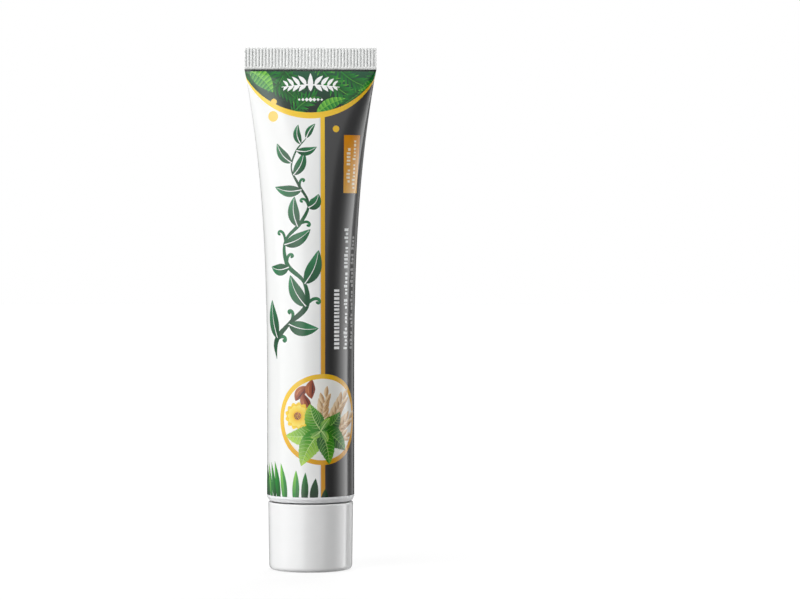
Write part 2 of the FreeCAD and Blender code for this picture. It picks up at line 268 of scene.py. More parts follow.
GLOW = glow_material()


def screen(name, profile):
    """An arc round the tube. The profile lists azimuths, 0 on the camera's side, and the glow there."""
    stops = np.array(profile, float)
    even_steps = np.linspace(stops[0, 0], stops[-1, 0], SCREEN_STEPS)
    azimuths = np.unique(np.concatenate([even_steps, stops[:, 0]]))
    glows = np.interp(azimuths, stops[:, 0], stops[:, 1])
    turns = np.radians(azimuths)
    x, y = SCREEN_DISTANCE * np.sin(turns), -SCREEN_DISTANCE * np.cos(turns)
    points = [(a, b, z) for z in (SCREEN_LOW, SCREEN_HIGH) for a, b in zip(x, y)]
    count = len(turns)
    mesh = bpy.data.meshes.new(name)
    mesh.from_pydata(points, [], [(i + 1, i, i + count, i + count + 1) for i in range(count - 1)])
    values = np.tile(glows, 2).astype(np.float32)
    mesh.attributes.new("glow", "FLOAT", "POINT").data.foreach_set("value", values)
    mesh.materials.append(GLOW)
    arc = bpy.data.objects.new(name, mesh)
    arc.visible_camera = False
    arc.visible_shadow = False
    scene.collection.objects.link(arc)
    print(name, "glows at most", glows.max())


LEFT_PROFILE = [(-180, 0.0), (-155, 0.0), (-148, 0.3), (-120, 0.7), (-89, 0.7), (-87, 2.0), (-60, 2.0),
                (-45, 2.3), (-30, 2.9), (-20, 2.4), (-10, 0.5)]
RIGHT_PROFILE = [(38, 0.3), (46, 0.0), (58, 0.0), (71, 0.6), (84, 2.3), (100, 4.2), (111, 5.3), (113, 0.6),
                 (128, 0.35), (142, 0.8), (150, 0.7), (156, 0.0), (180, 0.0)]
screen("left_screen", LEFT_PROFILE)
screen("right_screen", RIGHT_PROFILE)

# %% [markdown]
# Three plain lamps hang above the screens. Most of their light misses the mirror bands, and it lifts
# the front, the right side and the back.

# %% Hang the upper lamps
def softbox(name, azimuth, elevation, size, radiance, distance=1.0):
    """A square lamp that faces the tube. Its radiance of 1 is a white surface in full light."""
    data = bpy.data.lights.new(name, "AREA")
    data.size = size
    data.energy = radiance * math.pi * size * size
    lamp = bpy.data.objects.new(name, data)
    turn, lift = math.radians(azimuth), math.radians(elevation)
    away = Vector((math.sin(turn) * math.cos(lift), -math.cos(turn) * math.cos(lift), math.sin(lift)))
    lamp.location = Vector((0.0, 0.0, FIN_TOP / 2 * MM)) + away * distance
    lamp.rotation_euler = away.to_track_quat("Z", "Y").to_euler()
    scene.collection.objects.link(lamp)
    print(name, "gives", round(data.energy, 2), "W")


softbox("upper_left_lamp", azimuth=-50, elevation=36, size=1.2, radiance=3.3, distance=1.5)
softbox("upper_right_lamp", azimuth=92, elevation=46, size=0.5, radiance=1.8)
softbox("upper_back_lamp", azimuth=170, elevation=52, size=0.6, radiance=5.2)

# %% [markdown]
# ## Rolling up the print
# A point of the flat print is a distance **u** along the sheet from the middle of the front, and a
# height **z**. On the tube it lies at the same share of the way round the section at that height,
# and the section is an ellipse. An ellipse's length has no simple formula, so a table is made once:
# for each height and each share of the way round, the angle of that point.

# %% Make the table that rolls a flat point onto the tube
GIRTH = 2 * math.pi * TUBE_RADIUS
TABLE_ROWS = 341
TABLE_COLUMNS = 720
ANGLE_STEPS = 2880


def roll_table():
    heights = np.linspace(SLEEVE_FOOT, FIN_FOOT, TABLE_ROWS)
    angles = np.linspace(-math.pi, math.pi, ANGLE_STEPS + 1)
    shares = np.linspace(0, 1, TABLE_COLUMNS + 1)
    middles = (angles[1:] + angles[:-1]) / 2
    table = np.empty((TABLE_ROWS, TABLE_COLUMNS + 1))
    for row, z in enumerate(heights):
        steps = np.hypot(half_width(z) * np.cos(middles), half_depth(z) * np.sin(middles))
        length = np.concatenate([[0.0], np.cumsum(steps)])
        table[row] = np.interp(shares * length[-1], length, angles)
    return table


ROLL = roll_table()


def rolled_angle(u, z):
    """The angle round the section, from the middle of the front, of each point of the flat print."""
    row = (z - SLEEVE_FOOT) / (FIN_FOOT - SLEEVE_FOOT) * (TABLE_ROWS - 1)
    column = (u / GIRTH + 0.5) * TABLE_COLUMNS
    low_row = np.clip(row.astype(int), 0, TABLE_ROWS - 2)
    low_column = np.clip(column.astype(int), 0, TABLE_COLUMNS - 1)
    up, over = row - low_row, column - low_column
    near = ROLL[low_row, low_column] * (1 - over) + ROLL[low_row, low_column + 1] * over
    far = ROLL[low_row + 1, low_column] * (1 - over) + ROLL[low_row + 1, low_column + 1] * over
    return near * (1 - up) + far * up


def rolled(u, z):
    """Places and outward directions on the tube for points of the flat print, in millimetres."""
    angle = rolled_angle(u, z)
    wide, deep = half_width(z), half_depth(z)
    x, y = wide * np.sin(angle), -deep * np.cos(angle)
    wide_slope = (half_width(z + 0.01) - half_width(z - 0.01)) / 0.02
    deep_slope = (half_depth(z + 0.01) - half_depth(z - 0.01)) / 0.02
    lean = -(x * x * wide_slope / wide ** 3 + y * y * deep_slope / deep ** 3)
    out = np.stack([x / wide ** 2, y / deep ** 2, lean], 1)
    return np.stack([x, y, z], 1), out / np.linalg.norm(out, axis=1)[:, None]


def seen_at(x, z):
    """The flat print's point that is seen from the front at x, on the near side of the tube."""
    angle = math.asin(max(-1.0, min(1.0, x / float(half_width(z)))))
    row = int((z - SLEEVE_FOOT) / (FIN_FOOT - SLEEVE_FOOT) * (TABLE_ROWS - 1))
    return float(np.interp(angle, ROLL[row], np.linspace(-GIRTH / 2, GIRTH / 2, TABLE_COLUMNS + 1))), z


print("girth of the sheet:", round(GIRTH, 1), "mm")

# %% [markdown]
# ## Inks
# Gravure inks on white film are flat and glossy. Most of them run from a deep to a light shade
# within one shape, so each ink is a ramp, and every corner of the mesh carries a **tone** from 0 to
# 1 that says where on the ramp it is. Fine noise stands for the small unevenness of the ink, and a
# faint bump for the soft surface of the film. The gloss is the same on all of them, but for the
# film of the crimped fin, which the hot jaws leave dull.

# %% Make the inks
FILM_ROUGHNESS = 0.17
FILM_GRAIN = 0.000004
FILM_GRAIN_SCALE = 900.0
MOTTLE_SCALE = 260.0
NOISE_DETAIL = 3.0
PLASTIC_IOR = 1.5
ROUGHNESS_SPREAD = 0.15


def shade(red, green, blue):
    """A colour as written, with each part from 0 to 255, turned into the renderer's linear numbers."""
    parts = np.array([red, green, blue]) / 255
    return (*np.where(parts <= 0.04045, parts / 12.92, ((parts + 0.055) / 1.055) ** 2.4), 1.0)


def noise(nodes, links, scale):
    place = nodes.new("ShaderNodeTexCoord")
    texture = nodes.new("ShaderNodeTexNoise")
    texture.inputs["Scale"].default_value = scale
    texture.inputs["Detail"].default_value = NOISE_DETAIL
    links.new(place.outputs["Object"], texture.inputs["Vector"])
    return texture.outputs["Fac"]


def add_bump(nodes, links, shader, source, depth):
    bump = nodes.new("ShaderNodeBump")
    bump.inputs["Strength"].default_value = 1.0
    bump.inputs["Distance"].default_value = depth
    links.new(source, bump.inputs["Height"])
    links.new(bump.outputs["Normal"], shader.inputs["Normal"])


def new_finish(name, roughness, mottle, grain, grain_scale=FILM_GRAIN_SCALE):
    """A plastic finish: its tree, its shader, and a socket of mottle to multiply the colour by."""
    material, nodes, links, shader = new_material(name)
    shader.inputs["IOR"].default_value = PLASTIC_IOR
    fine = noise(nodes, links, grain_scale)
    smoothest, roughest = roughness * (1 - ROUGHNESS_SPREAD), roughness * (1 + ROUGHNESS_SPREAD)
    links.new(between(nodes, links, fine, smoothest, roughest), shader.inputs["Roughness"])
    if grain:
        add_bump(nodes, links, shader, fine, grain)
    patchy = between(nodes, links, noise(nodes, links, MOTTLE_SCALE), 1 - mottle, 1 + mottle)
    return material, nodes, links, shader, patchy


def times(nodes, links, colour, factor):
    mix = nodes.new("ShaderNodeVectorMath")
    mix.operation = "SCALE"
    links.new(colour, mix.inputs[0])
    links.new(factor, mix.inputs["Scale"])
    return mix.outputs[0]


def make_ink(name, *shades, mottle=0.03, roughness=FILM_ROUGHNESS, grain=FILM_GRAIN):
    """An ink that runs through the given shades as the tone goes from 0 to 1."""
    material, nodes, links, shader, patchy = new_finish(name, roughness, mottle, grain)
    tone = nodes.new("ShaderNodeAttribute")
    tone.attribute_name = "tone"
    ramp = nodes.new("ShaderNodeValToRGB")
    stops = ramp.color_ramp.elements
    while len(stops) < len(shades):
        stops.new(0.5)
    for i, colour in enumerate(shades):
        stops[i].position = i / (len(shades) - 1)
        stops[i].color = shade(*colour)
    links.new(tone.outputs["Fac"], ramp.inputs["Fac"])
    links.new(times(nodes, links, ramp.outputs["Color"], patchy), shader.inputs["Base Color"])
    return material


SHADES = {
    "white_film": ((238, 239, 238), (250, 251, 250)),
    "painted_stripe_shadow": ((203, 209, 217), (236, 239, 243)),
    "charcoal": ((54, 54, 54), (66, 66, 67)),
    "gold": ((214, 148, 0), (232, 176, 8), (255, 216, 66)),
    "pale_gold": ((248, 208, 84), (255, 226, 126)),
    "amber": ((222, 140, 8), (236, 180, 84)),
    "cream": ((250, 232, 196), (255, 246, 226)),
    "deep_green": ((0, 24, 14), (12, 86, 52)),
    "palm_green": ((0, 44, 18), (16, 132, 38), (138, 212, 74)),
    "vine_green": ((0, 66, 34), (12, 106, 58), (82, 166, 118)),
    "leaf_green": ((4, 66, 8), (62, 148, 24), (182, 222, 84)),
    "leaf_vein": ((120, 176, 76), (206, 232, 150)),
    "roundel_white": ((232, 231, 222), (250, 249, 244)),
    "petal_yellow": ((226, 148, 18), (248, 206, 40), (255, 238, 120)),
    "seed_brown": ((74, 22, 12), (142, 58, 30), (206, 130, 84)),
    "grain_beige": ((150, 104, 58), (212, 172, 124), (244, 222, 184)),
    "print_white": ((228, 232, 232), (255, 255, 255)),
    "soft_grey": ((150, 150, 150), (200, 200, 200)),
    "fin_film": ((247, 248, 247), (253, 254, 253)),
    "shaded_groove_film": ((212, 214, 213), (234, 236, 235)),
}
# What differs from an ordinary ink.
SPECIAL = {
    "white_film": {"mottle": 0.006},
    "fin_film": {"mottle": 0.01, "roughness": 0.45, "grain": 0},
    "shaded_groove_film": {"roughness": 0.6, "grain": 0},
}
INKS = {name: make_ink(name, *shades, **SPECIAL.get(name, {})) for name, shades in SHADES.items()}
print("inks:", len(INKS))

# %% [markdown]
# ## Drawing helpers
# The print is a stack of flat shapes, each painted over the ones before it, like cut paper. A shape
# is an ink, an outline of points in millimetres, and a rule for its tone. Leaves, petals, blades
# and brush strokes are all a middle line with a width that changes along it.

# %% Define how shapes are painted
LONGEST_EDGE = 1.6
TINY = 1e-9
THINNEST_LINE = 0.04
shapes = []


def paint(ink, outline, tone):
    """Adds one shape, its long edges cut short. The tone is a number, or a function of u and z."""
    fine = []
    for start, end in zip(outline, list(outline[1:]) + [outline[0]]):
        parts = max(1, math.ceil(math.dist(start, end) / LONGEST_EDGE))
        fine += [tuple(np.add(start, np.subtract(end, start) * k / parts).tolist()) for k in range(parts)]
    shapes.append((ink, fine, tone))


def paint_round(ink, outline, tone):
    """Adds a shape that may cross the seam at the back, where the sheet's two edges meet."""
    for shift in (-GIRTH, 0.0, GIRTH):
        moved = [(u + shift, z) for u, z in outline]
        if min(u for u, _ in moved) < GIRTH / 2 and max(u for u, _ in moved) > -GIRTH / 2:
            offset_tone = tone if not callable(tone) else lambda u, z, shift=shift: tone(u - shift, z)
            paint(ink, moved, offset_tone)


def box_outline(left, right, low, high):
    return [(left, low), (right, low), (right, high), (left, high)]


def disc_outline(centre, radius, points):
    turns = np.linspace(0, 2 * math.pi, points, endpoint=False)
    return [(centre[0] + radius * math.cos(a), centre[1] + radius * math.sin(a)) for a in turns]


def along(start, end, low, high):
    """A tone that runs from low at one point to high at another."""
    run = np.subtract(end, start)

    def tone(u, z):
        share = ((u - start[0]) * run[0] + (z - start[1]) * run[1]) / (run @ run)
        return low + (high - low) * np.clip(share, 0, 1)
    return tone


def curve_through(points, count):
    """A smooth line through a few chosen points."""
    points = np.array(points, float)
    padded = np.vstack([2 * points[0] - points[1], points, 2 * points[-1] - points[-2]])
    line = []
    for i in range(len(points) - 1):
        a, b, c, d = padded[i:i + 4]
        for t in np.linspace(0, 1, max(count // (len(points) - 1), 2), endpoint=False):
            line.append(0.5 * (2 * b + (c - a) * t + (2 * a - 5 * b + 4 * c - d) * t ** 2
                               + (3 * b - a - 3 * c + d) * t ** 3))
    return np.array(line + [points[-1]])


def across_line(line):
    """The direction across a line, at each of its points."""
    run = np.gradient(line, axis=0)
    side = np.stack([-run[:, 1], run[:, 0]], 1)
    return side / np.maximum(np.linalg.norm(side, axis=1), TINY)[:, None]


def band_outline(line, widths):
    """The outline of a brush stroke: a line with a width at each of its points."""
    line = np.array(line, float)
    half = across_line(line) * np.array(widths, float)[:, None] / 2
    return list(line + half) + list((line - half)[::-1])


def leaf_line(base, tip, bend, points=15):
    """The middle line of a leaf, which bends to one side by a few millimetres."""
    base, tip = np.array(base, float), np.array(tip, float)
    run = tip - base
    side = np.array((-run[1], run[0])) / np.linalg.norm(run)
    t = np.linspace(0, 1, points)
    return base + t[:, None] * run + (bend * np.sin(np.pi * t))[:, None] * side


def leaf_widths(width, points=15, belly=0.8):
    """Widths of a leaf from base to tip. A smaller belly puts the widest place nearer the base."""
    t = np.linspace(0, 1, points)
    return np.maximum(width * np.sin(np.pi * t ** belly) ** 0.85, THINNEST_LINE)


def half_leaf_outline(base, tip, width, bend, side, points=15, belly=0.8, notches=1.0):
    """The outline of one half of a leaf. Its width can be cut back by a share at each point."""
    line = leaf_line(base, tip, bend, points)
    widths = leaf_widths(width, points, belly) * notches
    edge = line + side * across_line(line) * widths[:, None] / 2
    return list(line) + list(edge[::-1][1:-1])


def paint_halves(ink, base, tip, low, high, half):
    """Paints the two halves of a leaf, one lighter. half gives the outline of the half on a side."""
    for side, lift in ((1, 0.16), (-1, -0.1)):
        paint(ink, half(side), along(base, tip, max(low + lift, 0.0), min(high + lift, 1.0)))


def polar(centre, angle, radius):
    turn = math.radians(angle)
    return centre[0] + radius * math.cos(turn), centre[1] + radius * math.sin(turn)


# %% [markdown]
# ## The fields of colour
# The front is split in two. White film runs to the left and charcoal to the right, with a gold
# stripe between them, and both go on round the sides and meet at the seam behind. The seam is
# where the sheet's two edges are welded.

# %% Paint the fields, the stripe and the seam
STRIPE_LEFT = 4.05
STRIPE_RIGHT = 5.8
SEAM_WIDTH = 1.6
SEAM_LINE = 1.6
EDGE = GIRTH / 2


def painted_white_shade(u, z):
    """Painted shade: the white is a touch greyer down the side than in the middle of the front, against
    the strong lamp at the left.
    """
    return np.interp(u, (-EDGE, -24, -12, 0), (0.8, 0.15, 0.5, 1.0))


paint("white_film", box_outline(-EDGE, EDGE, SLEEVE_FOOT, FIN_FOOT), painted_white_shade)
paint("charcoal", box_outline(STRIPE_RIGHT - 0.4, EDGE, SLEEVE_FOOT, FIN_FOOT),
      along((0, SLEEVE_FOOT), (0, FIN_FOOT), 0.0, 1.0))
# A thin pale-grey line down the left of the gold stripe is a painted shadow.
paint("painted_stripe_shadow", box_outline(STRIPE_LEFT - 0.45, STRIPE_LEFT, SLEEVE_FOOT, FIN_FOOT), 0.6)
gold_by_height = along((0, 60), (0, 185), 0.0, 0.85)
paint("gold", box_outline(STRIPE_LEFT, STRIPE_RIGHT, SLEEVE_FOOT, FIN_FOOT), gold_by_height)
seam_left = EDGE - SEAM_WIDTH
paint("gold", box_outline(seam_left - SEAM_LINE, seam_left, SLEEVE_FOOT, FIN_FOOT), gold_by_height)
paint("white_film", box_outline(seam_left, EDGE, SLEEVE_FOOT, FIN_FOOT), 0.4)
print("shapes so far:", len(shapes))

# %% [markdown]
# ## The header
# Below the fin a green field hangs down in a bow, edged with a gold crescent that is thickest in
# the middle. Both bows are arcs of a circle as seen from the front, so their points are turned into
# points of the flat print with the table. Its leaves are a plain jungle of palm fronds and broad
# leaves, with a small white sprig and a row of lozenges in the middle. A thin dark line of painted
# shadow runs along the top, under the fin. The back carries the same header, without the sprig.

# %% Paint the header
HEADER_OUTER_FOOT = 180.0
HEADER_OUTER_RADIUS = 28.6
HEADER_INNER_FOOT = 182.4
HEADER_INNER_RADIUS = 30.4
BOW_POINTS = 61
STALK_POINTS = 25
FIN_SHADOW_HEIGHT = 0.8
SIDE = GIRTH / 4
FRONT_SHARE = 0.96


def bow_height(foot, radius, x):
    return foot + radius - math.sqrt(radius ** 2 - x ** 2)


def bow(foot, radius):
    """The lower edge of the header, an arc that is round when seen from the front."""
    line = []
    for x in np.linspace(-FIN_HALF_WIDTH, FIN_HALF_WIDTH, BOW_POINTS):
        z = bow_height(foot, radius, x)
        line.append(seen_at(x, z) if abs(x) < half_width(z) else (math.copysign(SIDE, x), z))
    return line


def header_field(foot, radius):
    return bow(foot, radius) + [(SIDE, FIN_FOOT + 1), (-SIDE, FIN_FOOT + 1)]


def shifted(outline, across):
    return [(u + across, z) for u, z in outline]


def clipped_to_bow(outline):
    """Lifts an outline's points out of the gold, so that a leaf ends at the header's edge.

    Across the front, x is nearly u: FRONT_SHARE of it is close enough for a leaf."""
    kept = []
    for u, z in outline:
        u = max(-SIDE, min(SIDE, u))
        floor = bow_height(HEADER_INNER_FOOT, HEADER_INNER_RADIUS, u * FRONT_SHARE)
        kept.append((u, min(max(z, floor), FIN_FOOT + 0.5)))
    return kept


def header_shape(outline, tone, at):
    """Paints a shape of the header, kept out of the gold. at is the middle of the side it is on."""
    paint_round("palm_green", shifted(clipped_to_bow(outline), at), lambda u, z: tone(u - at, z))


def header_frond(at, rng, root, tip, bend, leaflets, reach, low, high):
    """A palm frond: slender leaflets in two rows along a bent stalk, darker where they leave it."""
    stalk = leaf_line(root, tip, bend, STALK_POINTS)
    for k in range(leaflets):
        share = (k + 0.6) / leaflets
        i = min(int(share * (STALK_POINTS - 1)), STALK_POINTS - 2)
        heading = math.degrees(math.atan2(*(stalk[i + 1] - stalk[i])[::-1]))
        length = reach * (0.55 + 0.9 * share * (1.1 - share) * 1.8) * rng.uniform(0.85, 1.1)
        for side in (1, -1):
            leaf_tip = polar(stalk[i], heading + side * (58 - 30 * share) + rng.uniform(-4, 4), length)
            line = leaf_line(stalk[i], leaf_tip, -side * 0.05 * length, 7)
            bright = high * rng.uniform(0.7, 1.0)
            header_shape(band_outline(line, leaf_widths(length * 0.15 + 0.25, 7, 0.7)),
                         along(stalk[i], leaf_tip, low, bright), at)
    widths = np.linspace(0.6, 0.15, STALK_POINTS)
    header_shape(band_outline(stalk, widths), along(root, tip, low + 0.3, high), at)


def header_broad_leaf(at, root, tip, width, bend, low, high, ribs):
    """A broad leaf with a pale midrib, cut into slanting panels that each run from dark to light."""
    points = 2 * ribs + 1
    line = leaf_line(root, tip, bend, points)
    run, across = np.gradient(line, axis=0), across_line(line)
    widths = leaf_widths(width, points) / 2
    for side, lift in ((1, 0.12), (-1, -0.08)):
        edge = line + side * across * widths[:, None] + run * 0.7 * (widths / width)[:, None]
        edge[-1] = line[-1]
        for i in range(0, points - 1, 2):
            j = min(i + 2, points - 1)
            tone = along(line[i], line[j], low + lift, high + lift)
            header_shape([line[i], edge[i], edge[(i + j) // 2], edge[j], line[j]], tone, at)
    header_shape(band_outline(line, np.linspace(0.5, 0.12, points)), along(root, tip, high, high), at)


# Root, tip, bend, number of leaflets, their reach, and the darkest and the lightest tone.
FRONDS = (
    ((-28, 199), (-6, 188), 2.0, 13, 6.5, 0.0, 0.6),
    ((3, 203), (21, 187), -2.5, 14, 6.5, 0.05, 0.85),
    ((28, 200), (14, 186), 1.5, 12, 5.5, 0.0, 0.7),
    ((9, 203), (27, 192), -2.0, 13, 5.5, 0.1, 0.75),
    ((-4, 203), (-13, 194), -1.5, 10, 4.5, 0.05, 0.6),
    ((-14, 203), (-3, 183), 2.0, 12, 5.0, 0.0, 0.5),
    ((-9, 180), (2, 189), 1.0, 9, 5.0, 0.1, 0.75),
)
# Root, tip, width, bend, the darkest and the lightest tone, and the number of ribs.
BROAD_LEAVES = (
    ((-25.5, 199.8), (-15.5, 190.6), 6.6, 1.0, 0.35, 0.85, 9),
    ((2.5, 182.2), (14.5, 188.2), 4.6, 0.8, 0.35, 0.8, 8),
    ((27.0, 195.8), (19.8, 191.4), 3.2, 0.4, 0.3, 0.75, 6),
)


def paint_header(at, with_sprig):
    rng = random.Random(7)
    # The gold crescent is painted lighter at its left end: a painted highlight of the lamp on that side.
    paint_round("gold", shifted(header_field(HEADER_OUTER_FOOT, HEADER_OUTER_RADIUS), at),
                along((-20 + at, 190), (20 + at, 186), 1.0, 0.7))
    paint_round("deep_green", shifted(header_field(HEADER_INNER_FOOT, HEADER_INNER_RADIUS), at),
                along((at, 184), (at, 200), 0.0, 1.0))
    for frond in FRONDS:
        header_frond(at, rng, *frond)
    for leaf in BROAD_LEAVES:
        header_broad_leaf(at, *leaf)
    # A band of the darkest green along the top is a painted shadow of the fin.
    fin_shadow_band = box_outline(-SIDE, SIDE, FIN_FOOT - FIN_SHADOW_HEIGHT, FIN_FOOT + 1)
    paint_round("deep_green", shifted(fin_shadow_band, at), 0.05)
    if with_sprig:
        paint_sprig(at)


SPRIG_HEIGHT = 193.6
SPRIG_LEAVES = ((1.8, 5.0), (4.5, 4.7), (7.0, 4.1), (9.3, 3.2))
SPRIG_STEM = ((0, 0.1), (5, -0.3), (12, -0.9))
LOZENGE_HEIGHT = 187.6
LOZENGE_STEP = 1.55


def paint_sprig(at):
    """A white sprig: a bud between leaves that lie out to both sides, and a row of lozenges below."""
    for side in (-1, 1):
        for k, (reach, size) in enumerate(SPRIG_LEAVES):
            root = (at + side * reach, SPRIG_HEIGHT - 0.22 * k)
            for lift, share in ((48, 1.0), (-42, 0.8)):
                angle = lift if side > 0 else 180 - lift
                line = leaf_line(root, polar(root, angle, size * share), 0.3 * side)
                paint_round("print_white", band_outline(line, leaf_widths(size * 0.33)), 1.0)
        stem = [(at + side * reach, SPRIG_HEIGHT + rise) for reach, rise in SPRIG_STEM]
        paint_round("print_white", band_outline(curve_through(stem, 12), np.linspace(0.6, 0.25, 13)), 1.0)
    bud = leaf_line((at, SPRIG_HEIGHT - 2.6), (at, SPRIG_HEIGHT + 4.8), 0.0)
    paint_round("print_white", band_outline(bud, leaf_widths(2.2)), 1.0)
    for k in range(-3, 4):
        lozenge = disc_outline((at + LOZENGE_STEP * k, LOZENGE_HEIGHT), 0.95 - 0.14 * abs(k), 4)
        paint_round("print_white", lozenge, 0.9)


paint_header(0.0, with_sprig=True)
paint_header(GIRTH / 2, with_sprig=False)
print("shapes so far:", len(shapes))

# %% [markdown]
# ## Dots, label and lines
# Gold dots sit under the crescent, an amber label stands on the charcoal side, and columns of small
# bars run up beside the stripe. From arm's length fine print is all rhythm, so a column needs only
# thin bars of different lengths, in groups of uneven number with wider gaps between them.

# %% Paint the dots, the amber label and the columns of bars
BAR_STEP = 1.7
BAR_SHARES = (0.4, 0.66)
GAP_SHARE = 0.34
GAPS_BETWEEN_GROUPS = 3.0
LOW_BAR = 0.68
SHORTEST_BAR = 0.9
FEWEST_IN_GROUP = 3


def paint_dot(x, z, radius, ink, tone):
    paint(ink, disc_outline(seen_at(x, z), radius, 40), tone)


paint_dot(-14.9, 180.9, 2.14, "pale_gold", 0.4)
paint_dot(-14.6, 186.8, 1.24, "pale_gold", 0.1)
paint_dot(10.15, 175.9, 1.35, "gold", 0.7)


def bar_column(u, low, high, tall, ink, tone, seed, most_in_group, even=False):
    """A column of small plain bars in groups. Unless they are even, about two in three are low."""
    rng = random.Random(seed)
    z, left = low, rng.randint(FEWEST_IN_GROUP, most_in_group)
    while z + SHORTEST_BAR < high:
        length = min(rng.uniform(*BAR_SHARES) * BAR_STEP, high - z)
        rise = tall if even else tall * rng.choice((LOW_BAR, LOW_BAR, 1.0))
        paint(ink, box_outline(u + tall / 2 - rise, u + tall / 2, z, z + length), tone)
        left -= 1
        z += length + GAP_SHARE * BAR_STEP * (1.0 if left else GAPS_BETWEEN_GROUPS)
        left = left or rng.randint(FEWEST_IN_GROUP, most_in_group)


LABEL_LEFT, LABEL_RIGHT = 13.9, 21.6
LABEL_LOW, LABEL_HIGH = 150.4, 173.5
paint("amber", box_outline(LABEL_LEFT, LABEL_RIGHT, LABEL_LOW, LABEL_HIGH),
      along((LABEL_LEFT, LABEL_HIGH), (LABEL_RIGHT, LABEL_LOW), 0.0, 1.0))
bar_column(16.1, 154.6, 169.0, 1.7, "cream", 0.5, 3, 9)
bar_column(18.9, 152.2, 171.8, 1.5, "cream", 0.1, 5, 9)
bar_column(11.05, 88.5, 112.5, 2.5, "print_white", 0.9, 11, 20, even=True)
bar_column(15.8, 88.5, 137.3, 2.1, "print_white", 0.1, 12, 6)
bar_column(20.1, 88.5, 133.5, 2.2, "soft_grey", 0.5, 13, 6)
for line in range(5):
    bar_column(-38.0 - 2.4 * line, 72.0, 138.0 - 7.0 * (line % 2), 1.3, "soft_grey", 0.0, 30 + line, 8)
print("shapes so far:", len(shapes))

# %% [markdown]
# ## The climbing vine
# The big green ornament up the white side is drawn with a flat brush: thick in the turns and thin
# in the lines. A stem climbs in slow bends, leaves stand off it left and right and get smaller
# towards the top, and tendrils curl out between them. Each leaf is two halves with a light line
# between, and its ink runs from deep at the base to paler at the tip.

# %% Paint the vine
VINE_POINTS = [(-15.2, 84.6), (-15.6, 91.5), (-9.0, 98.5), (-1.8, 105.5), (-2.6, 115.0), (-9.6, 122.0),
               (-10.6, 131.0), (-4.0, 138.5), (-0.8, 146.0), (-4.8, 153.5), (-7.8, 160.0), (-6.0, 166.8),
               (-1.8, 172.0)]
VINE_STEPS = 180
TENDRIL_POINTS = 34
LEAF_LEFT, LEAF_RIGHT = -18.2, 3.2
# Share of the stem's length, side, length, and for a tendril the turns it makes.
TENDRILS = (
    (0.09, 1, 10, 0.9), (0.18, -1, 9, 0.9), (0.26, 1, 11, 0.9), (0.42, 1, 9, 0.9),
    (0.50, -1, 10, 0.9), (0.58, 1, 8, 0.85), (0.66, -1, 8, 0.85), (0.74, 1, 7, 0.85),
)
LEAVES = (
    (0.10, -1, 15.5), (0.17, 1, 14.5), (0.25, -1, 14.0), (0.33, 1, 15.0), (0.41, -1, 12.0),
    (0.49, 1, 12.5), (0.57, -1, 12.0), (0.65, 1, 11.5), (0.73, -1, 11.5), (0.80, 1, 10.5),
    (0.865, -1, 10.0), (0.925, 1, 8.5), (0.965, -1, 8.0),
)


def paint_leaf(base, tip, width, bend):
    """A leaf of the vine in two halves, with a midrib of bare film."""
    paint_halves("vine_green", base, tip, 0.0, 0.6,
                 lambda side: half_leaf_outline(base, tip, width, bend, side))
    line = leaf_line(base, tip, bend)[:-1]
    paint("white_film", band_outline(line, np.linspace(0.42, 0.12, len(line))), 0.6)


def spiral_line(root, heading, size, turns, way):
    """A tendril that leaves its root along a heading and curls up at its end."""
    line, angle = [np.array(root, float)], math.radians(heading)
    step = size / TENDRIL_POINTS
    for k in range(TENDRIL_POINTS):
        share = k / TENDRIL_POINTS
        angle += way * turns * 4 * math.pi / TENDRIL_POINTS * share
        line.append(line[-1] + step * (1.25 - share) * np.array((math.cos(angle), math.sin(angle))))
    return line


def paint_tendril(root, heading, size, turns, way, thick):
    line = spiral_line(root, heading, size, turns, way)
    widths = thick * (0.3 + 0.7 * np.sin(np.linspace(0.2, 1.0, len(line)) * math.pi) ** 0.8)
    paint("vine_green", band_outline(line, widths), along(line[0], line[len(line) // 2], 0.1, 0.6))
    paint("vine_green", disc_outline(line[-1], thick * 0.42, 20), 0.5)


def stem_heading(stem, i):
    run = stem[min(i + 2, len(stem) - 1)] - stem[max(i - 2, 0)]
    return math.degrees(math.atan2(run[1], run[0]))


def paint_vine():
    stem = curve_through(VINE_POINTS, VINE_STEPS)
    share = np.linspace(0, 1, len(stem))
    swell = (0.6 + 0.4 * np.abs(np.sin(share * math.pi * 6))) * np.clip(share * 14 + 0.15, 0, 1)
    for place, side, size, turns in TENDRILS:
        i = int(place * (len(stem) - 1))
        heading = stem_heading(stem, i) - side * 24
        paint_tendril(tuple(stem[i]), heading, size, turns, -side, 1.5 - 0.7 * place)
    paint("vine_green", band_outline(stem, (2.8 - 2.3 * share) * swell),
          lambda u, z: 0.2 + 0.2 * np.sin(z / 9.0))
    for place, side, length in LEAVES:
        i = int(place * (len(stem) - 1))
        base = tuple(stem[i])
        tip = polar(base, stem_heading(stem, i) - side * 50, length)
        tip = (max(min(tip[0], LEAF_RIGHT), LEAF_LEFT), tip[1])
        paint_leaf(base, tip, length * 0.4, side * -1.1)
    bud_tip = polar(stem[-1], stem_heading(stem, len(stem) - 1) + 8, 7.0)
    paint_leaf(tuple(stem[-1]), bud_tip, 2.7, 0.5)


paint_vine()
print("shapes so far:", len(shapes))

# %% [markdown]
# ## The roundel
# A gold ring holds a bunch of plants on an off-white ground, made of plain motifs: a spray of
# toothed leaves, a yellow flower, brown beans and wheat ears. Side veins, highlights and two shades
# to each leaf give the flat shapes their body.

# %% Paint the roundel
ROUNDEL = (4.75, 60.8)
ROUNDEL_RADIUS = 18.0
RING_WIDTH = 1.9
LEAF_TEETH = 9
TOOTH_DEPTH = 0.1
LEAF_BELLY = 0.72
VEIN_POINTS = 41
GOLDEN_ANGLE = 137.5


def roundel_point(across, up):
    return ROUNDEL[0] + across, ROUNDEL[1] + up


